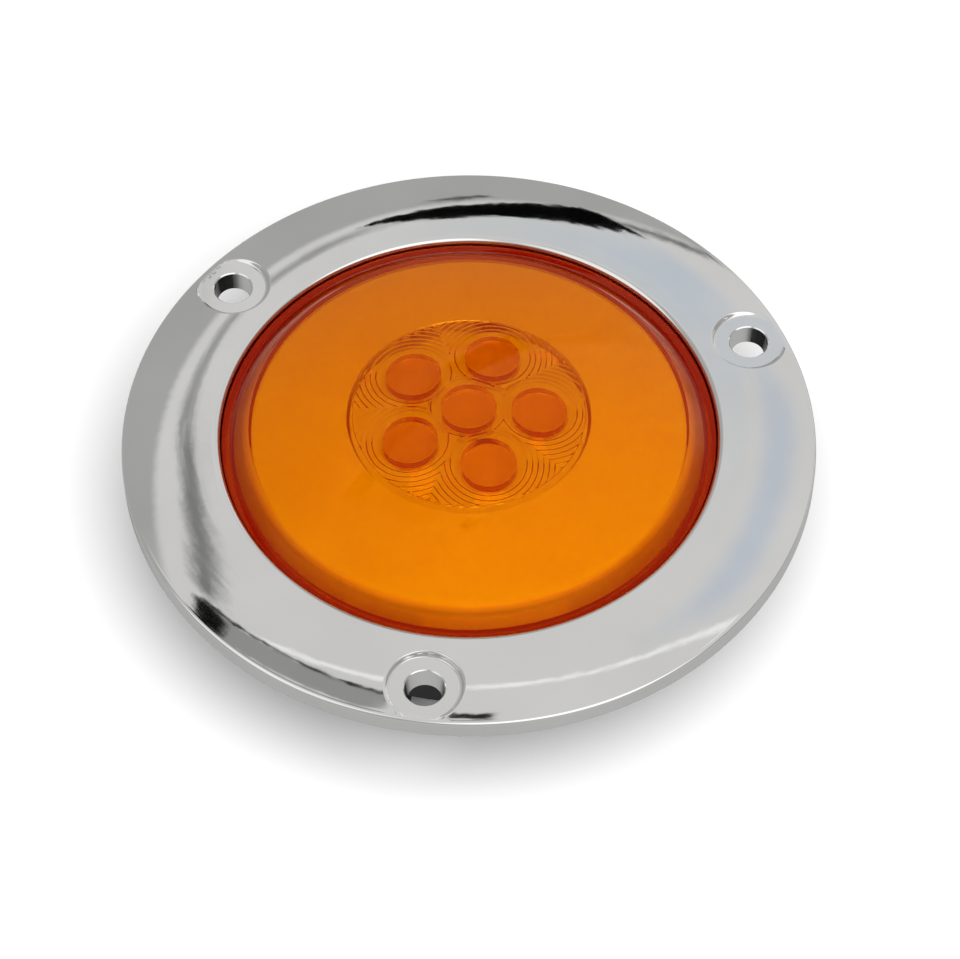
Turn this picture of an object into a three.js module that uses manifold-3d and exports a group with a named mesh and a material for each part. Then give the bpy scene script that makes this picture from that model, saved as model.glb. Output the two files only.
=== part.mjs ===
// Round flange-mount LED trailer lamp with an amber lens, in millimetres.
// The origin is the centre of the flange's rear face, where the vehicle's panel is. +Z points out of the
// lens, and -Y points down on the vehicle, towards the third screw.
import * as THREE from "three";
import { mergeVertices } from "three/addons/utils/BufferGeometryUtils.js";
import Module from "manifold-3d";

const wasm = await Module();
wasm.setup();

// ---- Driving dimensions ----
const FINE = 60; // segments round the large visible pieces
const COARSE = 48; // segments round the large inner pieces
const CLEAR = 0.4; // gap between neighbouring pieces
const DEG = Math.PI / 180;

// Chrome flange
const FLANGE_R = 70;
const BORE_R = 50.15;
const RIM_Z = 4.3;
const RIM_FILLET = 0.8;
const CREST_Z = 5.6;
const CROWN_R = 54.5; // the front is level inside this radius and falls in a parabola outside it
const LIP_R = 1.2;
const SKIN = 2.2;
const BORE_WALL_BOTTOM = -2;
const RIB_COUNT = 9;
const RIB_THICK = 1.6;
const RIB_BOTTOM = 2.3;

// Screw holes
const SCREW_CIRCLE_R = 62.2;
const SCREW_ANGLES = [150, 30, -90];
const PAD_R = 7.2;
const PAD_Z = 4.35;
const HOLE_TOP_R = 3.95;
const HOLE_BOTTOM_R = 3.4;

// Lens
const LENS_TOP = 14.2;
const DOME_RADIUS = 145.8;
const FACE_R = 44.3;
const LENS_R = 49.75;
const LEDGE_R = 48.2;
const LEDGE_Z = 4.2;
const SHOULDER = { r: 46.2, z: 5.9 };
const LENS_THICK = 2;
const SKIRT_THICK = 2.35;
const SKIRT_BOTTOM = -0.4;

// Six optics moulded in the lens's inner face, each over a reflector cup
const OPTIC_CIRCLE_R = 14;
const OPTIC_PHASE = 6;
const OPTIC_R = 5.4;
const OPTIC_WALL = 2.4; // length of its straight wall
const OPTIC_RISE = 0.4; // how far its domed end goes on below the wall
const TRAY_R = 23.8;
const TRAY_TOP = 8.2;
const TRAY_THICK = 1.2;
const CUP_MOUTH_R = 5.6;
const CUP_FOOT_R = 2.6;
const CUP_FOOT = -0.9;
const CUP_WALL = 1;
const LEG_CIRCLE_R = 21.3;

// Light guide and the reflector under it
const GUIDE_INNER_R = 24.4;
const GUIDE_OUTER_R = 43.5;
const GUIDE_SLOPE = [[44.7, 3.3], [46.9, 1.9]]; // [radius, z] of the foot's top, under the lens's shoulder
const GUIDE_COLLAR_R = 39.6;
const GUIDE_GAP = 0.8;
const GUIDE_THICK = 2.4;
const GUIDE_FOOT = -1;
const REFLECTOR_INNER_R = 24.8;
const REFLECTOR_THICK = 1.2;

// Circuit board
const BOARD_TOP = -3;
const BOARD_THICK = 1.6;
const BOARD_R = 46.6;
const BOARD_SCREW_CIRCLE_R = 34;
const BOARD_SCREW_ANGLES = [90, 210, 330];
const RING_LED_CIRCLE_R = 41.6;

// Rear housing
const HOUSING_TOP = -2.2;
const HOUSING_BOTTOM = -30;
const HOUSING_FLOOR = 2.4;
const HOUSING_LEDGE_R = 53.4;
const BOARD_SHELF_R = 45.8;
const POST_R = 3;

// Connector inlet
const SOCKET = { width: 30, height: 14, depth: 13, wall: 2, floor: 2.2, corner: 3 };
const CHANNEL = { width: 12, depth: 8, wall: 2, start: -5 };
const PIN_R = 1.2;
const PIN_PITCH = 8;
const PIN_TIP = -25.5;
const POTTING_TOP = -19;

// ---- Materials ----
function finish(color, roughness, metalness, extra = {}) {
  return new THREE.MeshStandardMaterial({ color, roughness, metalness, ...extra });
}

const CHROME = finish(0xd8d9d6, 0.06, 1);
const AMBER = finish(0xe87a00, 0.08, 0, { transparent: true, opacity: 0.8 });
const GUIDE_WHITE = finish(0xf2ecdf, 0.4, 0);
const REFLECTOR_WHITE = finish(0xf4f1ea, 0.35, 0);
const BLACK_PLASTIC = finish(0x17181a, 0.5, 0);
const BOARD_WHITE = finish(0xe9ebe6, 0.45, 0);
const LED_YELLOW = finish(0xf3c64a, 0.3, 0);
const COMPONENT_BLACK = finish(0x1d1d1f, 0.4, 0);
const TIN = finish(0xc6c8ca, 0.25, 1);
const STEEL = finish(0x9fa3a6, 0.35, 1);
const SEAL_RUBBER = finish(0x999994, 0.8, 0);
const FOAM = finish(0x2d2e30, 0.95, 0);
const RESIN = finish(0x0e0f12, 0.25, 0);

// ---- Geometry helpers ----

// Six times the signed volume enclosed by an indexed geometry: negative when its faces point inwards.
function signedVolume(geometry) {
  const p = geometry.getAttribute("position");
  const index = geometry.getIndex();
  const corner = (i) => new THREE.Vector3().fromBufferAttribute(p, index.getX(i));
  let sum = 0;
  for (let i = 0; i < index.count; i += 3) {
    sum += corner(i).dot(corner(i + 1).cross(corner(i + 2)));
  }
  return sum;
}

// A closed three.js geometry as a manifold solid, with its faces turned outwards.
function solid(geometry) {
  const bare = geometry.clone();
  bare.deleteAttribute("normal");
  bare.deleteAttribute("uv");
  const merged = mergeVertices(bare, 1e-4);
  const triVerts = new Uint32Array(merged.getIndex().array);
  if (signedVolume(merged) < 0) triVerts.reverse();
  const vertProperties = new Float32Array(merged.getAttribute("position").array);
  return new wasm.Manifold(new wasm.Mesh({ numProp: 3, vertProperties, triVerts }));
}

// A named three.js mesh of a manifold solid.
function part(name, shape, material) {
  const { vertProperties, triVerts } = shape.getMesh();
  const geometry = new THREE.BufferGeometry();
  geometry.setAttribute("position", new THREE.BufferAttribute(vertProperties, 3));
  geometry.setIndex(new THREE.BufferAttribute(triVerts, 1));
  geometry.computeVertexNormals();
  const mesh = new THREE.Mesh(geometry, material);
  mesh.name = name;
  return mesh;
}

// A profile of [radius, z] points turned about Z.
function turned(points, segments) {
  const profile = points.map(([r, z]) => new THREE.Vector2(r, z));
  const geometry = new THREE.LatheGeometry(profile, segments);
  return solid(geometry.rotateX(Math.PI / 2));
}

// The same, for a profile that doesn't touch the axis: it is closed back to its first point.
function turnedRing(points, segments) {
  return turned([...points, points[0]], segments);
}

function rod(radius, bottom, top, segments = 24, topRadius = radius) {
  return turned([[0, bottom], [radius, bottom], [topRadius, top], [0, top]], segments);
}

function box(width, depth, bottom, top) {
  const geometry = new THREE.BoxGeometry(width, depth, top - bottom);
  return solid(geometry.translate(0, 0, (bottom + top) / 2));
}

// A prism of a rounded rectangle, between two heights.
function roundedPrism(width, height, corner, bottom, top) {
  const x = width / 2 - corner;
  const y = height / 2 - corner;
  const outline = new THREE.Shape();
  outline.absarc(x, y, corner, 0, Math.PI / 2);
  outline.absarc(-x, y, corner, Math.PI / 2, Math.PI);
  outline.absarc(-x, -y, corner, Math.PI, 1.5 * Math.PI);
  outline.absarc(x, -y, corner, 1.5 * Math.PI, 2 * Math.PI);
  const extrude = { depth: top - bottom, bevelEnabled: false, curveSegments: 4 };
  return solid(new THREE.ExtrudeGeometry(outline, extrude).translate(0, 0, bottom));
}

// The point at a radius and an angle in degrees, as a translation.
function polar(radius, degrees, z = 0) {
  return [radius * Math.cos(degrees * DEG), radius * Math.sin(degrees * DEG), z];
}

// A quarter round from start to end angle about a centre, as profile points.
function roundOver(r, z, radius, startDeg, endDeg, steps) {
  return Array.from({ length: steps + 1 }, (_, i) => {
    const a = (startDeg + ((endDeg - startDeg) * i) / steps) * DEG;
    return [r + radius * Math.cos(a), z + radius * Math.sin(a)];
  });
}

// Height of the lens's domed face at a radius, lowered by an offset.
function domeZ(r, drop = 0) {
  return LENS_TOP - drop - (r * r) / (2 * DOME_RADIUS);
}

function domePoints(radii, drop) {
  return radii.map((r) => [r, domeZ(r, drop)]);
}

// A spherical cap of a radius and height standing on a base height, with a stub below it to join it by.
function sphericalCap(radius, height, base, segments) {
  const ball = (radius * radius + height * height) / (2 * height);
  const cap = [];
  for (let i = 0; i <= 3; i++) {
    const r = (radius * (3 - i)) / 3;
    cap.push([r, base + height - ball + Math.sqrt(ball * ball - r * r)]);
  }
  return turned([[0, base - 0.5], [radius, base - 0.5], ...cap], segments);
}

// Places of the six optics and of the LEDs under them: one in the middle and five round it.
const OPTIC_PLACES = [[0, 0, 0]];
for (let i = 0; i < 5; i++) {
  OPTIC_PLACES.push(polar(OPTIC_CIRCLE_R, OPTIC_PHASE + 72 * i));
}

// ---- Chrome flange ----

// Profile points of the flange's crowned front at some radii, lowered by an offset.
function crownPoints(radii, drop) {
  const edge = FLANGE_R - RIM_FILLET;
  return radii.map((r) => {
    const fall = (r - CROWN_R) / (edge - CROWN_R);
    return [r, CREST_Z - (CREST_Z - RIM_Z) * fall ** 2 - drop];
  });
}

function flangeShell() {
  const lip = roundOver(BORE_R + LIP_R, CREST_Z - LIP_R, LIP_R, 180, 90, 3);
  const fillet = roundOver(FLANGE_R - RIM_FILLET, RIM_Z - RIM_FILLET, RIM_FILLET, 90, 0, 2);
  const rimInner = FLANGE_R - SKIN;
  const boreOuter = BORE_R + SKIN;
  return turnedRing(
    [
      ...lip,
      ...crownPoints([CROWN_R, 59.5, 63, 66.5], 0),
      ...fillet,
      [FLANGE_R, 0],
      [rimInner, 0],
      ...crownPoints([rimInner, 63, 59.5, CROWN_R], SKIN),
      [boreOuter, CREST_Z - SKIN],
      [boreOuter, BORE_WALL_BOTTOM],
      [BORE_R, BORE_WALL_BOTTOM],
    ],
    FINE,
  );
}

function flangeRib(angle) {
  const length = FLANGE_R - SKIN / 2 - (BORE_R + SKIN / 2);
  const middle = (FLANGE_R + BORE_R) / 2;
  const rib = box(length, RIB_THICK, RIB_BOTTOM, CREST_Z - SKIN + 0.3);
  return rib.translate([middle, 0, 0]).rotate([0, 0, angle]);
}

function chromeFlange() {
  let flange = flangeShell();
  for (let i = 0; i < RIB_COUNT; i++) {
    flange = flange.add(flangeRib(90 + (360 * i) / RIB_COUNT));
  }
  for (const angle of SCREW_ANGLES) {
    const at = polar(SCREW_CIRCLE_R, angle);
    const boss = rod(PAD_R, 0, PAD_Z - 0.2, 32).translate(at);
    const pocket = rod(PAD_R, PAD_Z, CREST_Z + 1, 32).translate(at);
    const taper = (HOLE_TOP_R - HOLE_BOTTOM_R) / PAD_Z;
    const hole = rod(HOLE_BOTTOM_R - taper, -1, PAD_Z + 1, 24, HOLE_TOP_R + taper).translate(at);
    flange = flange.add(boss).subtract(pocket).subtract(hole);
  }
  return part("chrome_flange", flange, CHROME);
}

function panelGasket() {
  const outer = FLANGE_R - SKIN - CLEAR;
  const inner = BORE_R + SKIN + CLEAR;
  const top = RIB_BOTTOM - 0.3;
  let gasket = turnedRing([[inner, 0], [outer, 0], [outer, top - 0.3], [inner, top]], COARSE);
  for (const angle of SCREW_ANGLES) {
    const around = rod(PAD_R + CLEAR, -1, top + 1, 32);
    gasket = gasket.subtract(around.translate(polar(SCREW_CIRCLE_R, angle)));
  }
  return part("panel_gasket", gasket, FOAM);
}

// ---- Lens and its seal ----

// An optic stands down from the lens's inner face as a short rod with a domed end.
function lensOptic([x, y]) {
  const root = [[0, 0.8], [OPTIC_R, 0.8]];
  const dome = [1, 0.7, 0.35, 0].map((t) => [OPTIC_R * t, -OPTIC_WALL - OPTIC_RISE * (1 - t * t)]);
  const face = domeZ(Math.hypot(x, y), LENS_THICK);
  return turned([...root, ...dome], 24).translate([x, y, face]);
}

function amberLens() {
  const skirtInner = LENS_R - SKIRT_THICK;
  const insideCorner = FACE_R - 0.8;
  let shape = turned(
    [
      [0, LENS_TOP],
      ...domePoints([12, 24, 34, FACE_R], 0),
      [SHOULDER.r, SHOULDER.z],
      [LEDGE_R, LEDGE_Z + 0.3],
      [LENS_R - 0.3, LEDGE_Z],
      [LENS_R, LEDGE_Z - 0.3],
      [LENS_R, SKIRT_BOTTOM],
      [skirtInner, SKIRT_BOTTOM],
      [skirtInner, LEDGE_Z - 1.6],
      [SHOULDER.r - 1.2, SHOULDER.z - 1.6],
      ...domePoints([insideCorner, 34, 24, 12], LENS_THICK),
      [0, LENS_TOP - LENS_THICK],
    ],
    FINE,
  );
  for (const at of OPTIC_PLACES) shape = shape.add(lensOptic(at));
  return part("lens", shape, AMBER);
}

function lensSeal() {
  const middle = LENS_R - SKIRT_THICK / 2;
  const z = (SKIRT_BOTTOM + HOUSING_TOP) / 2;
  const section = roundOver(middle, z, 0.6, 0, 300, 5);
  return part("lens_seal", turnedRing(section, COARSE), SEAL_RUBBER);
}

// ---- Light guide, reflector and reflector cups ----
function glowRing() {
  const drop = LENS_THICK + GUIDE_GAP;
  const radii = [GUIDE_OUTER_R, 34, GUIDE_INNER_R];
  const shape = turnedRing(
    [
      ...domePoints(radii, drop),
      ...domePoints([GUIDE_INNER_R, 34, GUIDE_COLLAR_R], drop + GUIDE_THICK),
      [GUIDE_COLLAR_R, GUIDE_FOOT],
      [GUIDE_SLOPE[1][0], GUIDE_FOOT],
      GUIDE_SLOPE[1],
      GUIDE_SLOPE[0],
    ],
    COARSE,
  );
  return part("glow_ring", shape, GUIDE_WHITE);
}

function reflector() {
  const drop = LENS_THICK + GUIDE_GAP + GUIDE_THICK + CLEAR;
  const outer = GUIDE_COLLAR_R - CLEAR;
  const collar = REFLECTOR_INNER_R + REFLECTOR_THICK;
  const foot = BOARD_TOP + CLEAR;
  const shape = turnedRing(
    [
      ...domePoints([outer, 32, REFLECTOR_INNER_R], drop),
      [REFLECTOR_INNER_R, foot],
      [collar, foot],
      ...domePoints([collar, 32, outer], drop + REFLECTOR_THICK),
    ],
    COARSE,
  );
  return part("reflector", shape, REFLECTOR_WHITE);
}

// The tray of six reflector cups, on five legs that stand on the board.
function reflectorCups() {
  const plateBottom = TRAY_TOP - TRAY_THICK;
  let tray = rod(TRAY_R, plateBottom, TRAY_TOP, COARSE);
  for (const at of OPTIC_PLACES) {
    const outside = rod(CUP_FOOT_R + CUP_WALL, CUP_FOOT, plateBottom + 0.2, 20, CUP_MOUTH_R + CUP_WALL);
    tray = tray.add(outside.translate(at));
  }
  for (const at of OPTIC_PLACES) {
    const slope = (CUP_MOUTH_R - CUP_FOOT_R) / (TRAY_TOP - CUP_FOOT);
    const inside = rod(CUP_FOOT_R - slope, CUP_FOOT - 1, TRAY_TOP + 1, 20, CUP_MOUTH_R + slope);
    tray = tray.subtract(inside.translate(at));
  }
  for (let i = 0; i < 5; i++) {
    const at = polar(LEG_CIRCLE_R, OPTIC_PHASE + 36 + 72 * i);
    tray = tray.add(rod(1.3, BOARD_TOP + CLEAR, plateBottom + 0.2, 10).translate(at));
  }
  return part("reflector_cups", tray, REFLECTOR_WHITE);
}

// ---- Circuit board and what is soldered to it ----
function circuitBoard() {
  let board = rod(BOARD_R, BOARD_TOP - BOARD_THICK, BOARD_TOP, COARSE);
  for (const angle of BOARD_SCREW_ANGLES) {
    const hole = rod(1.7, BOARD_TOP - BOARD_THICK - 1, BOARD_TOP + 1, 16);
    board = board.subtract(hole.translate(polar(BOARD_SCREW_CIRCLE_R, angle)));
  }
  return part("circuit_board", board, BOARD_WHITE);
}

const ON_BOARD = BOARD_TOP + 0.3;
const UNDER_BOARD = BOARD_TOP - BOARD_THICK - 0.3;

function centerLed(index) {
  const body = box(3.5, 3.5, ON_BOARD, ON_BOARD + 0.8);
  const dome = sphericalCap(1.5, 0.6, ON_BOARD + 0.8, 12);
  return part(`led_center_${index + 1}`, body.add(dome).translate(OPTIC_PLACES[index]), LED_YELLOW);
}

function ringLed(index) {
  const angle = 60 * index;
  const body = box(2.4, 3, ON_BOARD, ON_BOARD + 1).translate([RING_LED_CIRCLE_R, 0, 0]);
  return part(`led_ring_${index + 1}`, body.rotate([0, 0, angle]), LED_YELLOW);
}

// A surface-mount component hanging under the board.
function chip(name, width, depth, height, x, y, material) {
  const body = box(width, depth, UNDER_BOARD - height, UNDER_BOARD);
  return part(name, body.translate([x, y, 0]), material);
}

function smoothingCapacitor() {
  const can = rod(3.15, UNDER_BOARD - 6.5, UNDER_BOARD, 20);
  return part("smoothing_capacitor", can.translate([-20, -20, 0]), TIN);
}

function electronics() {
  return [
    chip("current_regulator", 5, 4, 1.6, 14, 15, COMPONENT_BLACK),
    chip("polarity_diode_running", 4.3, 2.6, 2.2, -6, 15, COMPONENT_BLACK),
    chip("polarity_diode_turn", 4.3, 2.6, 2.2, 3, 15, COMPONENT_BLACK),
    chip("load_resistor_1", 6.4, 3.2, 0.7, -22, 12, COMPONENT_BLACK),
    chip("load_resistor_2", 6.4, 3.2, 0.7, -22, 6, COMPONENT_BLACK),
    chip("load_resistor_3", 6.4, 3.2, 0.7, -22, 0, COMPONENT_BLACK),
    smoothingCapacitor(),
  ];
}

function boardScrew(index) {
  const shape = turned(
    [
      [0, ON_BOARD - 8],
      [1.1, ON_BOARD - 7.2],
      [1.1, ON_BOARD],
      [2.6, ON_BOARD],
      [2.6, ON_BOARD + 0.8],
      [1.8, ON_BOARD + 1.6],
      [0, ON_BOARD + 1.6],
    ],
    16,
  );
  const at = polar(BOARD_SCREW_CIRCLE_R, BOARD_SCREW_ANGLES[index]);
  return part(`board_screw_${index + 1}`, shape.translate(at), STEEL);
}

// ---- Rear housing with its connector inlet ----
const FLOOR_TOP = HOUSING_BOTTOM + HOUSING_FLOOR;
const SOCKET_TOP = HOUSING_BOTTOM + SOCKET.depth;
const CHANNEL_TOP = HOUSING_BOTTOM + CHANNEL.depth;

function housingOutside() {
  return turned(
    [
      [0, HOUSING_BOTTOM],
      [45.7, HOUSING_BOTTOM],
      [47.2, HOUSING_BOTTOM + 1.5],
      [49, HOUSING_TOP - 2.4],
      [HOUSING_LEDGE_R, HOUSING_TOP - 2.4],
      [HOUSING_LEDGE_R, HOUSING_TOP - 0.2],
      [LENS_R, HOUSING_TOP - 0.2],
      [LENS_R, HOUSING_TOP],
      [0, HOUSING_TOP],
    ],
    FINE,
  );
}

function housingInside() {
  const shelf = UNDER_BOARD;
  return turned(
    [
      [0, FLOOR_TOP],
      [44.6, FLOOR_TOP],
      [BOARD_SHELF_R, shelf],
      [LENS_R - SKIRT_THICK, shelf],
      [LENS_R - SKIRT_THICK, HOUSING_TOP + 1],
      [0, HOUSING_TOP + 1],
    ],
    COARSE,
  );
}

// The blocks of plastic round the connector recess and its cord channel, grown by a margin.
function inletBlocks(margin) {
  const grow = 2 * (SOCKET.wall + margin);
  const socket = roundedPrism(
    SOCKET.width + grow,
    SOCKET.height + grow,
    SOCKET.corner + SOCKET.wall + margin,
    HOUSING_BOTTOM,
    SOCKET_TOP + SOCKET.floor + margin,
  );
  const width = CHANNEL.width + 2 * (CHANNEL.wall + margin);
  const length = FLANGE_R + CHANNEL.start;
  const channel = box(width, length, HOUSING_BOTTOM, CHANNEL_TOP + CHANNEL.wall + margin);
  return socket.add(channel.translate([0, CHANNEL.start - length / 2, 0]));
}

// The hollows themselves, open to the rear and, for the channel, to the side.
function inletHollows() {
  const below = HOUSING_BOTTOM - 1;
  const socket = roundedPrism(SOCKET.width, SOCKET.height, SOCKET.corner, below, SOCKET_TOP);
  const length = FLANGE_R + CHANNEL.start;
  const channel = box(CHANNEL.width, length, below, CHANNEL_TOP);
  return socket.add(channel.translate([0, CHANNEL.start - length / 2, 0]));
}

function posts(radius, bottom, top, segments) {
  return BOARD_SCREW_ANGLES.map((angle) =>
    rod(radius, bottom, top, segments).translate(polar(BOARD_SCREW_CIRCLE_R, angle)),
  );
}

function rearHousing() {
  const outside = housingOutside();
  let housing = outside.subtract(housingInside());
  for (const post of posts(POST_R, FLOOR_TOP - 0.5, UNDER_BOARD, 20)) {
    housing = housing.add(post);
  }
  housing = housing.add(inletBlocks(0).intersect(outside)).subtract(inletHollows());
  for (const pilot of posts(1.5, UNDER_BOARD - 9, UNDER_BOARD + 1, 12)) {
    housing = housing.subtract(pilot);
  }
  for (const x of [-PIN_PITCH, 0, PIN_PITCH]) {
    const hole = rod(PIN_R + 0.3, SOCKET_TOP - 1, SOCKET_TOP + SOCKET.floor + 1, 12);
    housing = housing.subtract(hole.translate([x, 0, 0]));
  }
  return part("rear_housing", housing, BLACK_PLASTIC);
}

function terminal(name, x) {
  const pin = turned(
    [
      [0, PIN_TIP],
      [0.7, PIN_TIP + 0.2],
      [PIN_R, PIN_TIP + 1.2],
      [PIN_R, UNDER_BOARD],
      [0, UNDER_BOARD],
    ],
    12,
  );
  return part(name, pin.translate([x, 0, 0]), TIN);
}

function pottingResin() {
  const bottom = FLOOR_TOP + 0.3;
  let resin = rod(44.2, bottom, POTTING_TOP, COARSE);
  for (const post of posts(POST_R + 0.3, bottom - 1, POTTING_TOP + 1, 20)) {
    resin = resin.subtract(post);
  }
  return part("potting_resin", resin.subtract(inletBlocks(0.3)), RESIN);
}

// ---- Assembly ----
const lamp = new THREE.Group();
lamp.add(chromeFlange(), panelGasket(), amberLens(), lensSeal());
lamp.add(glowRing(), reflector(), reflectorCups(), circuitBoard());
for (let i = 0; i < OPTIC_PLACES.length; i++) lamp.add(centerLed(i));
for (let i = 0; i < 6; i++) lamp.add(ringLed(i));
for (let i = 0; i < BOARD_SCREW_ANGLES.length; i++) lamp.add(boardScrew(i));
lamp.add(...electronics());
lamp.add(rearHousing(), pottingResin());
lamp.add(terminal("terminal_ground", -PIN_PITCH));
lamp.add(terminal("terminal_running", 0));
lamp.add(terminal("terminal_turn", PIN_PITCH));

export default lamp;
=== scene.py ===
"""A round LED trailer lamp: domed amber lens in a chrome screw-on flange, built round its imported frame."""

import math

import bmesh
import bpy
from mathutils import Matrix, Vector
from mathutils.geometry import delaunay_2d_cdt


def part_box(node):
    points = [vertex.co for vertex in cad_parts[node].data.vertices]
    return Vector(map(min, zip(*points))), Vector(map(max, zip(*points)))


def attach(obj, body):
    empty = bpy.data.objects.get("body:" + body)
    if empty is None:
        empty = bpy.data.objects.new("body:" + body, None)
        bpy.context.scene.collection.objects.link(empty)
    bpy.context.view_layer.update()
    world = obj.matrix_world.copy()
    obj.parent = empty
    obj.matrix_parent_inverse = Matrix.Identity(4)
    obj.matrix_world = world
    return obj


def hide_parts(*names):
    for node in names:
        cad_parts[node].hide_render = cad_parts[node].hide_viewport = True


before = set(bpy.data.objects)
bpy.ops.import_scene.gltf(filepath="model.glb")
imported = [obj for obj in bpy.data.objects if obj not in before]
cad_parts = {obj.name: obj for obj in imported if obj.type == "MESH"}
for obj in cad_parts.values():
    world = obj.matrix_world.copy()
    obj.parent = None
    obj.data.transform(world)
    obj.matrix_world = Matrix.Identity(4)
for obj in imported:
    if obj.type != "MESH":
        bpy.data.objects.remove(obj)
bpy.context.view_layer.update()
scene = bpy.context.scene

# ---- Driving dimensions, in millimetres ----
MM = 0.001


def node_box(name):
    """The lowest and highest corner of a CAD node, in millimetres."""
    low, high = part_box(name)
    return low / MM, high / MM


FLANGE_LOW, FLANGE_HIGH = node_box("chrome_flange")
FLANGE_R = FLANGE_HIGH.y
CREST_Z = FLANGE_HIGH.z
BORE_WALL_BOTTOM = FLANGE_LOW.z
LENS_LOW, LENS_HIGH = node_box("lens")
LENS_TOP = LENS_HIGH.z
SKIRT_BOTTOM = LENS_LOW.z
HOUSING_LOW, HOUSING_HIGH = node_box("rear_housing")
HOUSING_BOTTOM = HOUSING_LOW.z
HOUSING_TOP = HOUSING_HIGH.z
HOUSING_LEDGE_R = HOUSING_HIGH.y

# Flange
BORE_R = 50.15
LIP_R = 1.2
SKIN = 2.2
RIM_Z = 4.3
RIM_FILLET = 0.8
CROWN_R = 54.5  # the front is flat inside this radius and falls in a parabola outside it
RIM_WALL_R = FLANGE_R - SKIN
SCREW_CIRCLE_R = 62.2
SCREW_ANGLES = (150, 30, -90)
PAD_R = 7.0
PAD_WALL = 0.75
PAD_Z = 4.35
HOLE_TOP_R = 3.95
HOLE_BOTTOM_R = 3.4
HOLE_CHAMFER = 0.22
BOSS_R = 7.2

# Lens
LENS_R = BORE_R - 0.2
DOME_RADIUS = 145.8
FACE_R = 44.3
SHOULDER_R, SHOULDER_Z = 46.2, 5.9
LEDGE_R, LEDGE_Z = 48.2, 4.3
LENS_THICK = 2.0
SKIRT_INNER_R = LENS_R - 2.35
INNER_EDGE_R = FACE_R - 0.8  # where the inner face turns down into the shoulder

# Optics in the lens's inner face, and the reflector cups under them
OPTIC_CIRCLE_R = 14.0
OPTIC_PHASE = 6
OPTIC_R = 5.4
OPTIC_ZONE_R = 23.5
OPTIC_WALL = 2.4
OPTIC_DRAFT = 0.15  # how much wider the wall is at its root
OPTIC_RISE = 0.4
GROOVE_START = OPTIC_R + 1.2
GROOVE_PITCH = 1.1
GROOVE_DEPTH = 0.2
GROOVE_CREST = 0.78  # where in its pitch a groove's slow side ends and its steep side begins
GROOVE_END_R = OPTIC_ZONE_R - 0.4
BEAD_WIDTH = 0.25
BEAD_HEIGHT = 0.3
TRAY_THICK = 1.2
CUP_MOUTH_R = 5.6
CUP_FOOT_R = 2.6
CUP_FOOT_Z = -0.9
CUP_WALL = 1.0
CUP_LIP = 0.2
LEG_R = 1.3
LEG_CIRCLE_R = 21.3

# Light guide and the reflector under it
GUIDE_INNER_R = 24.4
GUIDE_COLLAR_R = 39.6
GUIDE_EDGE_R = 43.5
GUIDE_FOOT_R = 46.9
GUIDE_THICK = 2.4
REFLECTOR_INNER_R = 24.8
REFLECTOR_THICK = 1.2

# Rear housing, with its plug socket and the cord channel from the socket to the side
HOUSING_BACK_R = 47.0
HOUSING_NECK_R = 49.0
INNER_FLOOR_R = 44.6
FLOOR_THICK = 2.4
LEDGE_THICK = 2.2
SHELF_R, SHELF_Z = 45.8, -4.9
SOCKET_WIDTH, SOCKET_HEIGHT, SOCKET_CORNER, SOCKET_DEPTH = 30, 14, 3, 13
CHANNEL_WIDTH, CHANNEL_DEPTH, CHANNEL_START = 12, 8, -5
CHANNEL_BLOCK_REACH = 46.4
INLET_WALL = 2.0
SOCKET_FLOOR = 2.2
GASKET_GAP = 0.4

BIG = 288  # segments round the large pieces
SMALL = 96  # segments round screw pads and optics


# ---- Shape helpers, all in millimetres ----
def smoothstep(t):
    """A soft step from 0 to 1 as t goes from 0 to 1."""
    t = min(max(t, 0.0), 1.0)
    return t * t * (3 - 2 * t)


def polar(radius, degrees):
    """The point at a radius and an angle from +X."""
    a = math.radians(degrees)
    return radius * math.cos(a), radius * math.sin(a)


SCREWS = [polar(SCREW_CIRCLE_R, a) for a in SCREW_ANGLES]
OPTICS = [(0.0, 0.0)] + [polar(OPTIC_CIRCLE_R, OPTIC_PHASE + 72 * i) for i in range(5)]


def circle(radius, count, centre=(0.0, 0.0)):
    """Points round a circle."""
    turn = 2 * math.pi / count
    return [
        (centre[0] + radius * math.cos(turn * i), centre[1] + radius * math.sin(turn * i))
        for i in range(count)
    ]


def rounded(corners, steps=6):
    """Points of an open profile of (r, z, radius) corners, each corner turned into an arc of its radius."""
    points = []
    for i, (r, z, radius) in enumerate(corners):
        corner = Vector((r, z))
        if radius == 0:
            points.append(corner)
            continue
        before = (Vector(corners[i - 1][:2]) - corner).normalized()
        after = (Vector(corners[i + 1][:2]) - corner).normalized()
        half = before.angle(after) / 2
        centre = corner + (before + after).normalized() * radius / math.sin(half)
        start = corner + before * radius / math.tan(half) - centre
        end = corner + after * radius / math.tan(half) - centre
        sweep = math.atan2(start.x * end.y - start.y * end.x, start.dot(end))
        for k in range(steps + 1):
            turn = Matrix.Rotation(sweep * k / steps, 2)
            points.append(centre + turn @ start)
    return points


def lathe(bm, profile, count=BIG, centre=(0.0, 0.0)):
    """Adds a profile of (r, z) points turned about the vertical line through centre."""
    rings = [[bm.verts.new((x, y, z)) for x, y in circle(r, count, centre)] for r, z in profile]
    for lower, upper in zip(rings, rings[1:]):
        for i in range(count):
            j = (i + 1) % count
            bm.faces.new((lower[i], lower[j], upper[j], upper[i]))


def ring(bm, profile, count=BIG, centre=(0.0, 0.0)):
    """The same for a closed profile, which doesn't touch the axis."""
    lathe(bm, [*profile, profile[0]], count, centre)


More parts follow.
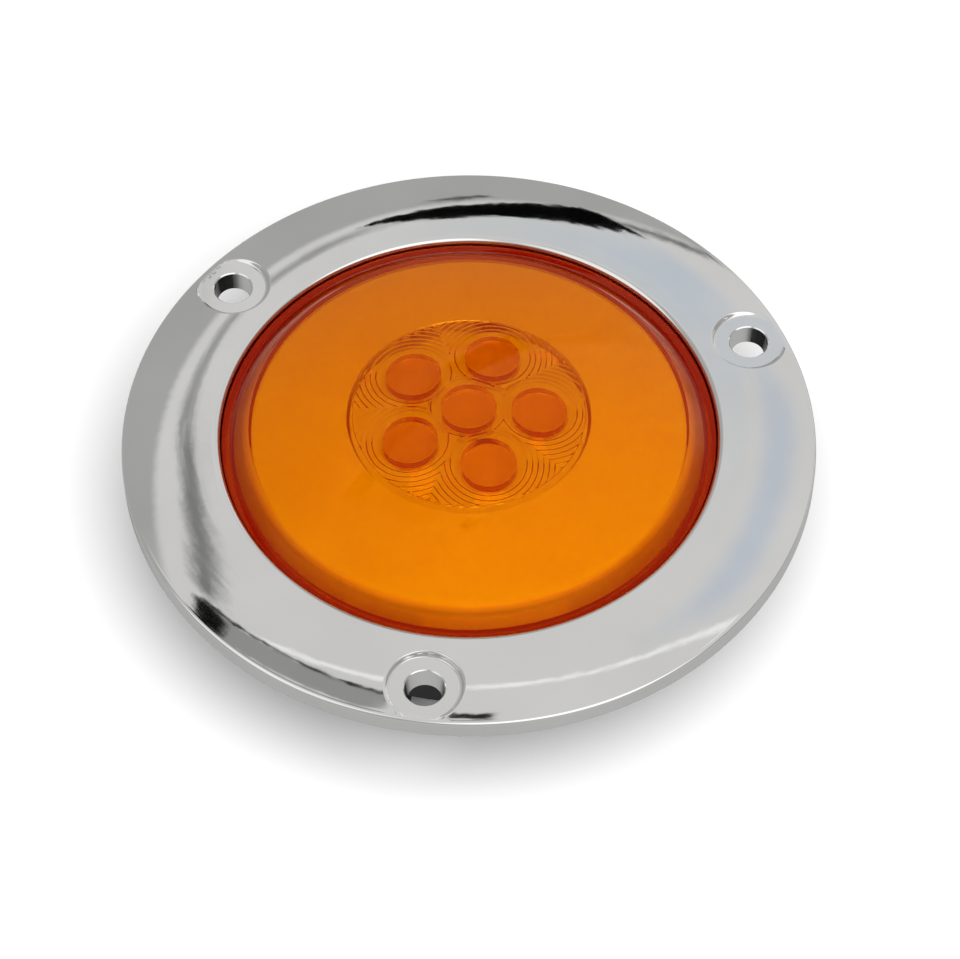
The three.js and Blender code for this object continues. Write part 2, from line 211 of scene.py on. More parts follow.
def triangulated(points, loops):
    """Triangles over points in the XY plane. loops are closed outlines that no triangle crosses."""
    coords = [Vector(p) for p in points]
    edges = []
    for loop in loops:
        first = len(coords)
        coords += [Vector(p) for p in loop]
        edges += [(first + i, first + (i + 1) % len(loop)) for i in range(len(loop))]
    flat, _, faces, *_ = delaunay_2d_cdt(coords, edges, [], 0, 1e-5)
    return flat, faces


def sheet(bm, points, loops, keep, height):
    """Adds a triangulated sheet. keep(x, y) says which triangles stay, and height(x, y) lifts them."""
    flat, faces = triangulated(points, loops)
    made = {}
    for face in faces:
        middle = sum((flat[i] for i in face), Vector((0, 0))) / 3
        if not keep(*middle):
            continue
        for i in face:
            if i not in made:
                made[i] = bm.verts.new((*flat[i], height(*flat[i])))
        bm.faces.new([made[i] for i in face])


def finish_mesh(bm, name, sharp=38):
    """Welds what was built in millimetres, turns its faces outwards and returns it as a mesh in metres."""
    bmesh.ops.remove_doubles(bm, verts=bm.verts, dist=1e-4)
    bmesh.ops.dissolve_degenerate(bm, edges=bm.edges, dist=1e-5)
    bmesh.ops.recalc_face_normals(bm, faces=bm.faces)
    bmesh.ops.scale(bm, vec=(MM, MM, MM), verts=bm.verts)
    mesh = bpy.data.meshes.new(name)
    bm.to_mesh(mesh)
    bm.free()
    mesh.shade_smooth()
    mesh.set_sharp_from_angle(angle=math.radians(sharp))
    return mesh


def weigh_normals(piece):
    """Lets large faces set the shading where they meet small fillets."""
    weighted = piece.modifiers.new("weighted_normals", "WEIGHTED_NORMAL")
    weighted.keep_sharp = True


def add_piece(name, mesh, material, slot, *nodes):
    """Places a mesh as a visible piece that stands for CAD nodes."""
    piece = bpy.data.objects.new(name, mesh)
    scene.collection.objects.link(piece)
    mesh.materials.append(material)
    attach(piece, "root")
    if nodes:
        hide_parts(*nodes)
    return piece


# ---- Materials ----
def feed(tree, socket, value):
    """Gives an input socket a number or a colour, or links another node's output to it."""
    if isinstance(value, bpy.types.NodeSocket):
        tree.links.new(value, socket)
    else:
        socket.default_value = value


def node(tree, kind, inputs=None, **settings):
    """Adds a shader node. inputs says by name or number what feeds each of its sockets."""
    made = tree.nodes.new("ShaderNode" + kind)
    for name, value in settings.items():
        setattr(made, name, value)
    for name, value in (inputs or {}).items():
        feed(tree, made.inputs[name], value)
    return made


def new_tree(name):
    """A new material, its node tree and the output node, which is the only one in it."""
    material = bpy.data.materials.new(name)
    material.use_nodes = True
    tree = material.node_tree
    tree.nodes.clear()
    return material, tree, node(tree, "OutputMaterial")


def noise(tree, scale, detail=3.0, roughness=0.5):
    """Noise over the object's own coordinates, at a scale in features per metre."""
    place = node(tree, "TexCoord").outputs["Object"]
    inputs = {"Vector": place, "Scale": scale, "Detail": detail, "Roughness": roughness}
    return node(tree, "TexNoise", inputs).outputs["Fac"]


def spread(tree, value, low, high):
    """Maps the middle of a noise's range to low..high."""
    inputs = {"Value": value, "From Min": 0.3, "From Max": 0.7, "To Min": low, "To Max": high}
    return node(tree, "MapRange", inputs).outputs["Result"]


def bump(tree, value, distance, strength=1.0, under=None):
    """A normal bent by a height of some metres, on top of another bump if there is one."""
    inputs = {"Height": value, "Distance": distance, "Strength": strength}
    if under is not None:
        inputs["Normal"] = under
    return node(tree, "Bump", inputs).outputs["Normal"]


def blend(tree, factor, first, second):
    """A colour between two, by a factor of 0 to 1."""
    mixer = node(tree, "Mix", data_type="RGBA")
    sockets = [s for s in mixer.inputs if s.enabled]
    for socket, value in zip(sockets, (factor, first, second)):
        feed(tree, socket, value)
    return next(s for s in mixer.outputs if s.enabled)


def two_tones(tree, value, dark, light):
    """A colour that wanders between two tones with a noise."""
    return blend(tree, spread(tree, value, 0, 1), (*dark, 1), (*light, 1))


def surface(name, dark, light, rough, metallic=0.0, mottle=90, grain=2500, grain_height=0.0, coat=0.0):
    """A Principled material whose colour, roughness and fine relief all vary by noise."""
    material, tree, output = new_tree(name)
    patches = noise(tree, mottle)
    inputs = {
        "Base Color": two_tones(tree, patches, dark, light),
        "Roughness": spread(tree, noise(tree, mottle * 3), *rough),
        "Metallic": metallic,
        "Coat Weight": coat,
    }
    if grain_height:
        inputs["Normal"] = bump(tree, noise(tree, grain), grain_height)
    shader = node(tree, "BsdfPrincipled", inputs)
    tree.links.new(shader.outputs[0], output.inputs["Surface"])
    return material


def chrome_material():
    """Bright plating on moulded plastic: a mirror with a faint long wave and a fine orange peel."""
    material, tree, output = new_tree("chrome_plating")
    wave = bump(tree, noise(tree, 55, 2.0), 0.00004, 0.6)
    peel = bump(tree, noise(tree, 420, 2.0), 0.000004, 0.6, wave)
    inputs = {
        "Base Color": two_tones(tree, noise(tree, 40), (0.80, 0.80, 0.785), (0.86, 0.86, 0.85)),
        "Roughness": spread(tree, noise(tree, 130, 6.0, 0.65), 0.015, 0.05),
        "Metallic": 1.0,
        "Normal": peel,
    }
    shader = node(tree, "BsdfPrincipled", inputs)
    tree.links.new(shader.outputs[0], output.inputs["Surface"])
    return material


def amber_material(name, face_haze, shoulder_shade):
    """Clear amber plastic: orange where it is thin, red where light goes a long way in it. Light that comes
    in meets a haze on its surface, and light that goes out doesn't. A haze is a colour and its share of the
    surface. The second one takes over at the lens's shoulder, where the plastic is thick: it is painted
    shade, a darker red that stands in for light lost in the thick plastic over the dark housing under it."""
    material, tree, output = new_tree(name)
    place = node(tree, "TexCoord").outputs["Object"]
    reach = node(tree, "VectorMath", {"Vector": place}, operation="LENGTH").outputs["Value"]
    limits = {"From Min": (FACE_R + 0.6) * MM, "From Max": SHOULDER_R * MM}
    shoulder_shade_mask = node(tree, "MapRange", {"Value": reach, **limits}).outputs["Result"]
    shared = {
        "Roughness": spread(tree, noise(tree, 300, 4.0), 0.0, 0.03),
        "Specular Tint": (1.0, 0.4, 0.05, 1.0),
        "Normal": bump(tree, noise(tree, 60, 2.0), 0.00001, 0.5),
    }
    clear = node(tree, "BsdfPrincipled", {
        "Base Color": (0.93, 0.8, 0.02, 1.0), "Transmission Weight": 1.0, "IOR": 1.5, **shared,
    })
    # Painted shade: the haze turns to a deep red towards the shoulder.
    haze_and_shade_colour = blend(tree, shoulder_shade_mask, (*face_haze[0], 1), (*shoulder_shade[0], 1))
    haze = node(tree, "BsdfPrincipled", {"Base Color": haze_and_shade_colour, **shared})
    share = node(tree, "MapRange", {"Value": shoulder_shade_mask, "To Min": face_haze[1], "To Max": shoulder_shade[1]})
    going_out = node(tree, "NewGeometry").outputs["Backfacing"]
    inputs = {"Value": going_out, "To Min": share.outputs["Result"], "To Max": 0.0}
    share_going_in = node(tree, "MapRange", inputs).outputs["Result"]
    shader = node(tree, "MixShader", {"Fac": share_going_in, 1: clear.outputs[0], 2: haze.outputs[0]})
    body = node(tree, "VolumeAbsorption", {"Color": (0.99, 0.89, 0.1, 1.0), "Density": 1000.0})
    tree.links.new(shader.outputs[0], output.inputs["Surface"])
    tree.links.new(body.outputs[0], output.inputs["Volume"])
    return material


CHROME = chrome_material()
# The second haze is painted shade: a dark red over most of the shoulder, for light lost in the thick plastic.
AMBER = amber_material("amber_lens", ((0.9, 0.05, 0.0), 0.26), ((0.3, 0.0, 0.0), 0.62))
# Painted shade: from outside, the optics' walls get an opaque deep red. It stands in for the dark crescents
# that light lost inside the plastic gives them.
WALL_SHADE_RED = ((0.2, 0.0, 0.0), 1.0)
WALL_SHADE_AMBER = amber_material("amber_wall_painted_shade", WALL_SHADE_RED, WALL_SHADE_RED)
GUIDE = surface("light_guide", (0.90, 0.86, 0.78), (0.95, 0.92, 0.85), (0.35, 0.5))
WHITE = surface("reflector_white", (0.86, 0.85, 0.82), (0.92, 0.91, 0.88), (0.3, 0.45))
BLACK = surface("black_plastic", (0.010, 0.010, 0.011), (0.018, 0.018, 0.020), (0.38, 0.55),
                grain=3200, grain_height=0.00002)
RESIN = surface("potting_resin", (0.006, 0.006, 0.008), (0.012, 0.012, 0.014), (0.12, 0.3), coat=0.3)
FOAM = surface("gasket_foam", (0.022, 0.022, 0.024), (0.04, 0.04, 0.043), (0.85, 0.98),
               grain=1800, grain_height=0.00012)
RUBBER = surface("seal_rubber", (0.70, 0.69, 0.66), (0.78, 0.77, 0.74), (0.5, 0.7))
MASK = surface("board_mask", (0.78, 0.80, 0.77), (0.86, 0.87, 0.84), (0.3, 0.45))
PHOSPHOR = surface("led_phosphor", (0.88, 0.55, 0.06), (0.95, 0.66, 0.12), (0.2, 0.35))
PACKAGE = surface("component_black", (0.014, 0.014, 0.016), (0.024, 0.024, 0.026), (0.35, 0.5))
TIN = surface("tinned_metal", (0.62, 0.62, 0.62), (0.72, 0.72, 0.71), (0.16, 0.34), metallic=1.0)
STEEL = surface("screw_steel", (0.50, 0.51, 0.53), (0.60, 0.61, 0.62), (0.22, 0.42), metallic=1.0)


# ---- Chrome flange ----
def flange_skin(r):
    """Height of the flange's front at a radius: level by the bore, then a falling crown, then the rim."""
    edge = FLANGE_R - RIM_FILLET
    if r > edge:
        return RIM_Z - RIM_FILLET + math.sqrt(max(RIM_FILLET**2 - (r - edge) ** 2, 0))
    fall = max(r - CROWN_R, 0) / (edge - CROWN_R)
    return CREST_Z + (RIM_Z - CREST_Z) * fall**2


def flange_front(x, y):
    """The same with a sunk flat pad round each screw hole."""
    skin = flange_skin(math.hypot(x, y))
    if skin <= PAD_Z:
        return skin
    for cx, cy in SCREWS:
        t = (math.hypot(x - cx, y - cy) - PAD_R) / PAD_WALL
        if t < 1:
            return PAD_Z + (skin - PAD_Z) * smoothstep(t)
    return skin


def nearest(x, y, centres):
    """Distance from a point to the nearest of some centres."""
    return min(math.hypot(x - cx, y - cy) for cx, cy in centres)


def front_points(inner, edge):
    """Rings of points for the flange's front: round the bore and, closer together, round each screw pad."""
    points = []
    clear = PAD_R + PAD_WALL + 0.5
    for r in (inner + (edge - inner) * k / 32 for k in range(1, 33)):
        points += [p for p in circle(r, BIG) if r > edge - 0.1 or nearest(*p, SCREWS) > clear]
    for inset in (0.2, 0.4, 0.6):
        points += circle(edge - inset, BIG)
    for a in (12, 24, 36, 48):
        points += circle(edge + RIM_FILLET * math.sin(math.radians(a)), BIG)
    wall = [PAD_R + PAD_WALL * k / 8 for k in range(9)]
    for rho in [4.6, 5.4, 6.2, 6.7, *wall, PAD_R + PAD_WALL + 0.25]:
        for screw in SCREWS:
            points += [p for p in circle(rho, SMALL, screw) if math.hypot(*p) < edge - 0.75]
    return points


def front_sheet(bm, inner, outer, hole):
    """The flange's front, from its bore's lip to its rim."""
    loops = [circle(inner, BIG), circle(outer, BIG)]
    loops += [circle(hole, SMALL, screw) for screw in SCREWS]

    def on_metal(x, y):
        return math.hypot(x, y) > inner and nearest(x, y, SCREWS) > hole

    sheet(bm, front_points(inner, FLANGE_R - RIM_FILLET), loops, on_metal, flange_front)


def in_foot(x, y):
    """True where the flange stands on the panel: its rim and its screw bosses."""
    return math.hypot(x, y) > RIM_WALL_R or nearest(x, y, SCREWS) < BOSS_R


def back_sheets(bm, inner, outer, hole):
    """The flange's back, on two levels: feet in the panel's plane, and the hollow between them."""
    loops = [circle(inner, BIG), circle(outer, BIG), circle(RIM_WALL_R, BIG)]
    for screw in SCREWS:
        loops += [circle(hole, SMALL, screw), circle(BOSS_R, SMALL, screw)]
    points = [p for r in (54, 56, 57.5, 59, 60.5, 62, 63.5, 65.5) for p in circle(r, SMALL)]
    flat, faces = triangulated(points, loops)
    made = {}

    def vertex(i, foot):
        if (i, foot) not in made:
            z = 0.0 if foot else flange_skin(flat[i].length) - SKIN
            made[i, foot] = bm.verts.new((*flat[i], z))
        return made[i, foot]

    sides = {}
    for face in faces:
        x, y = sum((flat[i] for i in face), Vector((0, 0))) / 3
        if math.hypot(x, y) < inner or nearest(x, y, SCREWS) < hole:
            continue
        foot = in_foot(x, y)
        bm.faces.new([vertex(i, foot) for i in face])
        for k in range(3):
            sides.setdefault(frozenset((face[k], face[k - 1])), set()).add(foot)
    for (i, j), levels in ((tuple(edge), s) for edge, s in sides.items()):
        if len(levels) == 2:
            bm.faces.new((vertex(i, True), vertex(j, True), vertex(j, False), vertex(i, False)))


def turn_down(r, z, radius, degrees):
    """Profile points of a round edge, by their angles from level: a negative radius turns inwards."""
    turns = [math.radians(a) for a in degrees]
    return [(r + radius * math.sin(a), z - abs(radius) * (1 - math.cos(a))) for a in turns]


def flange():
    """The chrome flange: a front sheet, a bore and a rim turned down from it, back sheets and screw holes."""
    bm = bmesh.new()
    lip_top = BORE_R + LIP_R
    edge = FLANGE_R - RIM_FILLET
    foot_edge = FLANGE_R - 0.6
    hole_top = HOLE_TOP_R + HOLE_CHAMFER
    hole_bottom = HOLE_BOTTOM_R + HOLE_CHAMFER
    bore_outer = BORE_R + SKIN
    lip = turn_down(lip_top, CREST_Z, -LIP_R, range(0, 91, 9))
    rim = turn_down(edge, RIM_Z, RIM_FILLET, range(60, 91, 6))
    front_sheet(bm, lip_top, rim[0][0], hole_top)
    foot = rounded([(BORE_R, 0, 0), (BORE_R, BORE_WALL_BOTTOM, 0.3), (bore_outer, BORE_WALL_BOTTOM, 0.3),
                    (bore_outer, flange_skin(bore_outer) - SKIN, 0)])
    lathe(bm, [*lip, *foot])
    lathe(bm, [*rim, *rounded([(FLANGE_R, 2.0, 0), (FLANGE_R, 0, 0.35), (foot_edge, 0, 0)])])
    back_sheets(bm, bore_outer, foot_edge, hole_bottom)
    for screw in SCREWS:
        hole = rounded([(hole_top, PAD_Z, 0), (HOLE_TOP_R, PAD_Z - HOLE_CHAMFER, 0.1),
                        (HOLE_BOTTOM_R, HOLE_CHAMFER, 0.1), (hole_bottom, 0, 0)], 4)
        lathe(bm, hole, SMALL, screw)
    piece = add_piece("flange", finish_mesh(bm, "flange"), CHROME, "chrome_plating", "chrome_flange")
    weigh_normals(piece)


# ---- Amber lens ----
def dome_z(r, drop=0.0):
    """Height of the lens's domed face at a radius, lowered by a drop."""
    return LENS_TOP - drop - r * r / (2 * DOME_RADIUS)


def dome_profile(start, end, drop, steps):
    """Profile corners along the dome from one radius to another."""
    radii = [start + (end - start) * k / steps for k in range(steps + 1)]
    return [(r, dome_z(r, drop), 0) for r in radii]


def optic_relief(x, y):
    """How far the lens's inner face stands out in the optic zone: six domed rods among fine grooves, and a
    bead round them all."""
    if math.hypot(x, y) > OPTIC_ZONE_R - BEAD_WIDTH:
        return BEAD_HEIGHT
    rho = nearest(x, y, OPTICS)
    if rho < OPTIC_R:
        return OPTIC_WALL + OPTIC_RISE * (1 - (rho / OPTIC_R) ** 2)
    root = OPTIC_R + OPTIC_DRAFT
    if rho < root:
        return OPTIC_WALL * (root - rho) / OPTIC_DRAFT
    if rho < GROOVE_START:
        return 0.0
    t = (rho - GROOVE_START) / GROOVE_PITCH % 1
    return GROOVE_DEPTH * min(t / GROOVE_CREST, (1 - t) / (1 - GROOVE_CREST))


def optic_cell(x, y, index):
    """True if a point is well within the stretch of the optic zone that belongs to one optic."""
    own = math.hypot(x - OPTICS[index][0], y - OPTICS[index][1])
    others = [c for i, c in enumerate(OPTICS) if i != index]
    return math.hypot(x, y) < GROOVE_END_R and own < nearest(x, y, others) - 0.12


def cell_borders():
    """Points along the lines where the grooves of two optics meet: a pentagon and five spokes."""
    half = math.radians(36)
    inradius = OPTIC_CIRCLE_R / 2
    points = []
    for k in range(5):
        corner_angle = OPTIC_PHASE + 36 + 72 * k
        start = Vector(polar(inradius / math.cos(half), corner_angle))
        end = Vector(polar(inradius / math.cos(half), corner_angle + 72))
        points += [start.lerp(end, i / 70) for i in range(70)]
        tip = Vector(polar(GROOVE_END_R, corner_angle))
        points += [start.lerp(tip, i / 100) for i in range(1, 100)]
    return points


def optic_sheet(bm, outer):
    """The lens's inner face over the optic zone."""
    points = cell_borders()
    rings_out = [OPTIC_R * k / 9 for k in range(1, 10)] + [OPTIC_R + OPTIC_DRAFT, OPTIC_R + 0.6]
    for k in range(10):
        rings_out += [GROOVE_START + GROOVE_PITCH * (k + t) for t in (0, GROOVE_CREST / 2, GROOVE_CREST)]
    for index, centre in enumerate(OPTICS):
        points.append(Vector(centre))
        for rho in rings_out:
            around = circle(rho, SMALL, centre)
            points += [p for p in around if optic_cell(*p, index)]
    loops = [circle(outer, BIG)] + [circle(OPTIC_ZONE_R - inset, BIG) for inset in (0, 0.08, 0.24, 0.32)]

    def height(x, y):
        r = math.hypot(x, y)
        plain = dome_z(r, LENS_THICK)
        return plain if r > OPTIC_ZONE_R - 0.04 else plain - optic_relief(x, y)

    sheet(bm, points, loops, lambda x, y: True, height)


def paint_wall_shade(mesh):
    """Paints the optics' straight walls, seen from outside, a deep red: painted shade for the dark crescents
    that light lost inside the plastic gives them.
    """
    mesh.materials.append(WALL_SHADE_AMBER)
    for face in mesh.polygons:
        x, y, _ = face.center / MM
        steep = abs(face.normal.z) < 0.5
        if steep and OPTIC_R < nearest(x, y, OPTICS) < OPTIC_R + OPTIC_DRAFT:
            face.material_index = 1


def lens():
    """The amber lens: domed face, stepped shoulder and skirt, with the optics in its inner face."""
    bm = bmesh.new()
    outside = dome_profile(0, FACE_R, 0, 40)[:-1]
    shoulder = [
        (FACE_R, dome_z(FACE_R), 0.7),
        (SHOULDER_R, SHOULDER_Z, 0.4),
        (LEDGE_R, LEDGE_Z, 0.3),
        (LENS_R, LEDGE_Z - 0.1, 0.35),
        (LENS_R, SKIRT_BOTTOM, 0.3),
        (SKIRT_INNER_R, SKIRT_BOTTOM, 0.3),
        (SKIRT_INNER_R, 2.6, 0.4),
        (SHOULDER_R - 1.2, SHOULDER_Z - 1.6, 0.4),
        (INNER_EDGE_R, dome_z(INNER_EDGE_R, LENS_THICK), 0.6),
    ]
    optic_edge = OPTIC_ZONE_R + 0.5
    inside = dome_profile(INNER_EDGE_R, optic_edge, LENS_THICK, 16)[1:]
    lathe(bm, rounded([*outside, *shoulder, *inside], 8))
    optic_sheet(bm, optic_edge)
    mesh = finish_mesh(bm, "lens_shell", 25)
    add_piece("lens_shell", mesh, AMBER, "amber_lens", "lens")
    # Painted shade on the optics' walls, seen from outside.
    paint_wall_shade(mesh)


# ---- Light guide, reflector and cups ----
def glow_ring():
    """The frosted light guide: a domed plate with a collar, whose foot reaches under the lens's shoulder."""
    low, high = node_box("glow_ring")
    drop = dome_z(GUIDE_INNER_R) - high.z
    under_drop = drop + GUIDE_THICK
    top = dome_profile(GUIDE_INNER_R, GUIDE_EDGE_R, drop, 12)[1:-1]
    under = dome_profile(GUIDE_COLLAR_R, GUIDE_INNER_R, under_drop, 10)[1:-1]
    top_start = GUIDE_INNER_R + 0.3
    profile = rounded([
        (top_start, dome_z(top_start, drop), 0),
        *top,
        (GUIDE_EDGE_R, dome_z(GUIDE_EDGE_R, drop), 0.5),
        (GUIDE_EDGE_R + 1.2, 3.3, 0.4),
        (GUIDE_FOOT_R, 1.9, 0.4),
        (GUIDE_FOOT_R, low.z, 0.3),
        (GUIDE_COLLAR_R, low.z, 0.3),
        (GUIDE_COLLAR_R, dome_z(GUIDE_COLLAR_R, under_drop), 0.4),
        *under,
        (GUIDE_INNER_R, dome_z(GUIDE_INNER_R, under_drop), 0.3),
        (GUIDE_INNER_R, dome_z(GUIDE_INNER_R, drop), 0),
    ])
    bm = bmesh.new()
    ring(bm, profile)
    add_piece("light_guide", finish_mesh(bm, "light_guide"), GUIDE, "clear_optic", "glow_ring")


def white_reflector():
    """The white ring under the light guide, with a collar round its hole."""
    low, high = node_box("reflector")
    outer = high.y
    inner = REFLECTOR_INNER_R
    drop = dome_z(inner) - high.z
    under_drop = drop + REFLECTOR_THICK
    collar = inner + REFLECTOR_THICK
    top = dome_profile(outer, inner, drop, 10)
    under = [corner for corner in dome_profile(inner, outer, under_drop, 10) if corner[0] > collar]
    profile = rounded([
        *top,
        (inner, low.z, 0.2),
        (collar, low.z, 0.2),
        (collar, dome_z(collar, under_drop), 0.3),
        *under,
    ])
    bm = bmesh.new()
    ring(bm, profile)
    add_piece("reflector_ring", finish_mesh(bm, "reflector_ring"), WHITE, "reflector_white", "reflector")


def cup_profile(top, plate):
    """A reflector cup: a parabola from its mouth down to its throat, and a straight wall back up outside."""
    mouth_z = top - CUP_LIP
    widening = CUP_MOUTH_R - CUP_FOOT_R
    depth = mouth_z - CUP_FOOT_Z
    steps = [k / 10 for k in range(11)]
    bowl = [(CUP_FOOT_R + widening * math.sqrt(1 - t), mouth_z - depth * t) for t in steps]
    return [
        (CUP_MOUTH_R + CUP_LIP, top),
        *bowl,
        (CUP_FOOT_R + CUP_WALL, CUP_FOOT_Z),
        (CUP_MOUTH_R + CUP_WALL, plate),
    ]


def cup_tray():
    """The tray of six reflector cups, on five legs."""
    low, high = node_box("reflector_cups")
    outer, top = high.y, high.z
    plate = top - TRAY_THICK
    bm = bmesh.new()
    for z, hole in ((top, CUP_MOUTH_R + CUP_LIP), (plate, CUP_MOUTH_R + CUP_WALL)):
        loops = [circle(outer, BIG)] + [circle(hole, SMALL, c) for c in OPTICS]
        sheet(bm, [], loops, lambda x, y: nearest(x, y, OPTICS) > hole, lambda x, y: z)
    lathe(bm, [(outer, top), (outer, plate)])
    for centre in OPTICS:
        lathe(bm, cup_profile(top, plate), SMALL, centre)
    leg_top = plate - 0.01
    leg = rounded([(0, low.z, 0), (LEG_R, low.z, 0.2), (LEG_R, leg_top, 0), (0, leg_top, 0)])
    for k in range(5):
        lathe(bm, leg, 24, polar(LEG_CIRCLE_R, OPTIC_PHASE + 36 + 72 * k))
    piece = add_piece("cup_tray", finish_mesh(bm, "cup_tray"), WHITE, "reflector_white", "reflector_cups")
    weigh_normals(piece)


# ---- Rear housing and gasket ----
def boolean(target, cutter, operation):
    """Joins a cutter to a target or cuts it out, and deletes the cutter."""
    modifier = target.modifiers.new("boolean", "BOOLEAN")
    modifier.operation = operation
    modifier.solver = "EXACT"
    modifier.object = cutter
    bpy.context.view_layer.update()
    evaluated = target.evaluated_get(bpy.context.evaluated_depsgraph_get())
    mesh = bpy.data.meshes.new_from_object(evaluated)
    target.modifiers.clear()
    target.data = mesh
    bpy.data.objects.remove(cutter)


def loose(mesh):
    """A mesh as a helper object for boolean()."""
    made = bpy.data.objects.new(mesh.name, mesh)
    scene.collection.objects.link(made)
    return made


def prism(outline, bottom, top):
    """A closed prism of an outline of (x, y) points."""
    bm = bmesh.new()
    lower = [bm.verts.new((x, y, bottom)) for x, y in outline]
    upper = [bm.verts.new((x, y, top)) for x, y in outline]
    bm.faces.new(lower)
    bm.faces.new(upper)
    for i in range(len(outline)):
        bm.faces.new((lower[i - 1], lower[i], upper[i], upper[i - 1]))
    return loose(finish_mesh(bm, "prism"))


def rounded_rectangle(width, height, corner, centre=(0.0, 0.0), steps=8):
    """The outline of a rectangle with round corners."""
    points = []
    for quarter, (sx, sy) in enumerate(((1, 1), (-1, 1), (-1, -1), (1, -1))):
        x = centre[0] + sx * (width / 2 - corner)
        y = centre[1] + sy * (height / 2 - corner)
        for k in range(steps + 1):
            a = math.radians(90 * (quarter + k / steps))
            points.append((x + corner * math.cos(a), y + corner * math.sin(a)))
    return points


def housing_shell():
    """The housing's turned shell, from the middle of its back round to the middle of its floor inside."""
    ledge_top = HOUSING_TOP - 0.2
    ledge_bottom = ledge_top - LEDGE_THICK
    floor_top = HOUSING_BOTTOM + FLOOR_THICK
    bm = bmesh.new()
    lathe(bm, rounded([
        (0, HOUSING_BOTTOM, 0),
        (HOUSING_BACK_R, HOUSING_BOTTOM, 1.6),
        (HOUSING_NECK_R, ledge_bottom, 0.4),
        (HOUSING_LEDGE_R, ledge_bottom, 0.35),
        (HOUSING_LEDGE_R, ledge_top, 0.35),
        (LENS_R, ledge_top, 0),
        (LENS_R, HOUSING_TOP, 0.15),
        (SKIRT_INNER_R, HOUSING_TOP, 0.15),
        (SKIRT_INNER_R, SHELF_Z, 0.3),
        (SHELF_R, SHELF_Z, 0.3),
        (INNER_FLOOR_R, floor_top, 0.8),
        (0, floor_top, 0),
    ]), 192)
    return loose(finish_mesh(bm, "housing"))


def channel_outline(width, reach, corner, steps=8):
    """The cord channel's outline, from the socket out to a reach from the middle."""
    middle = (0, (CHANNEL_START - reach) / 2)
    return rounded_rectangle(width, reach + CHANNEL_START, corner, middle, steps)


def add_inlet(cup):
    """Adds the walls of the plug socket and the cord channel inside the housing, and cuts both hollow."""
    inside = HOUSING_BOTTOM + 1
    below = HOUSING_BOTTOM - 1
    socket_top = HOUSING_BOTTOM + SOCKET_DEPTH
    channel_top = HOUSING_BOTTOM + CHANNEL_DEPTH
    grow = 2 * INLET_WALL
    block = rounded_rectangle(SOCKET_WIDTH + grow, SOCKET_HEIGHT + grow, SOCKET_CORNER + INLET_WALL)
    boolean(cup, prism(block, inside, socket_top + SOCKET_FLOOR), "UNION")
    duct = channel_outline(CHANNEL_WIDTH + grow, CHANNEL_BLOCK_REACH, 0.5)
    boolean(cup, prism(duct, inside, channel_top + INLET_WALL), "UNION")
    socket = rounded_rectangle(SOCKET_WIDTH, SOCKET_HEIGHT, SOCKET_CORNER)
    boolean(cup, prism(socket, below, socket_top), "DIFFERENCE")
    slot = channel_outline(CHANNEL_WIDTH, FLANGE_R, 0.2, 1)
    boolean(cup, prism(slot, below, channel_top), "DIFFERENCE")


def bare_mesh(helper):
    """The mesh of a helper object, without materials. The helper itself is deleted."""
    mesh = helper.data
    bpy.data.objects.remove(helper)
    mesh.materials.clear()
    return mesh


def housing():
    """The black cup behind the flange, with its plug inlet."""
    cup = housing_shell()
    add_inlet(cup)
    piece = add_piece("housing", bare_mesh(cup), BLACK, "black_plastic", "rear_housing")
    bevel = piece.modifiers.new("bevel", "BEVEL")
    bevel.width = 0.45 * MM
    bevel.segments = 3
    bevel.limit_method = "ANGLE"
    bevel.angle_limit = math.radians(50)
    weigh_normals(piece)


def gasket():
    """The foam ring in the flange's hollow back, with a notch for each screw boss."""
    top = node_box("panel_gasket")[1].z
    outer = RIM_WALL_R - GASKET_GAP
    inner = BORE_R + SKIN + GASKET_GAP
    bm = bmesh.new()
    ring(bm, rounded([
        (inner + 1, 0, 0),
        (outer, 0, 0.35),
        (outer, top - 0.3, 0.35),
        (inner, top, 0.35),
        (inner, 0, 0.35),
        (inner + 0.9, 0, 0),
    ]))
    pad = loose(finish_mesh(bm, "gasket"))
    for screw in SCREWS:
        boolean(pad, prism(circle(BOSS_R + GASKET_GAP, SMALL, screw), -1, top + 1), "DIFFERENCE")
    weigh_normals(add_piece("gasket", bare_mesh(pad), FOAM, "gasket_foam", "panel_gasket"))


def pins():
    """The plug's three pins, each with a pointed tip."""
    for name in ("terminal_ground", "terminal_running", "terminal_turn"):
        low, high = node_box(name)
        centre = ((low.x + high.x) / 2, (low.y + high.y) / 2)
        radius = (high.x - low.x) / 2
        point = [(0, low.z, 0), (0.7, low.z, 0.35), (radius, low.z + 1.2, 0.4)]
        bm = bmesh.new()
        lathe(bm, rounded([*point, (radius, high.z, 0), (0, high.z, 0)]), 32, centre)
        add_piece(name.replace("terminal", "pin"), finish_mesh(bm, name), TIN, "tinned_metal", name)


# ---- CAD nodes that keep their shape ----
KEPT = {
    "lens_seal": RUBBER,
    "circuit_board": MASK,
    "potting_resin": RESIN,
    "current_regulator": PACKAGE,
    "polarity_diode_running": PACKAGE,
    "polarity_diode_turn": PACKAGE,
    "smoothing_capacitor": TIN,
    **{f"load_resistor_{i}": PACKAGE for i in (1, 2, 3)},
    **{f"board_screw_{i}": STEEL for i in (1, 2, 3)},
    **{f"led_center_{i}": PHOSPHOR for i in range(1, 7)},
    **{f"led_ring_{i}": PHOSPHOR for i in range(1, 7)},
}


def dress_kept_nodes():
    """Gives the CAD nodes that stay their materials."""
    for name, material in KEPT.items():
        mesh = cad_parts[name].data
        mesh.materials.clear()
        mesh.materials.append(material)


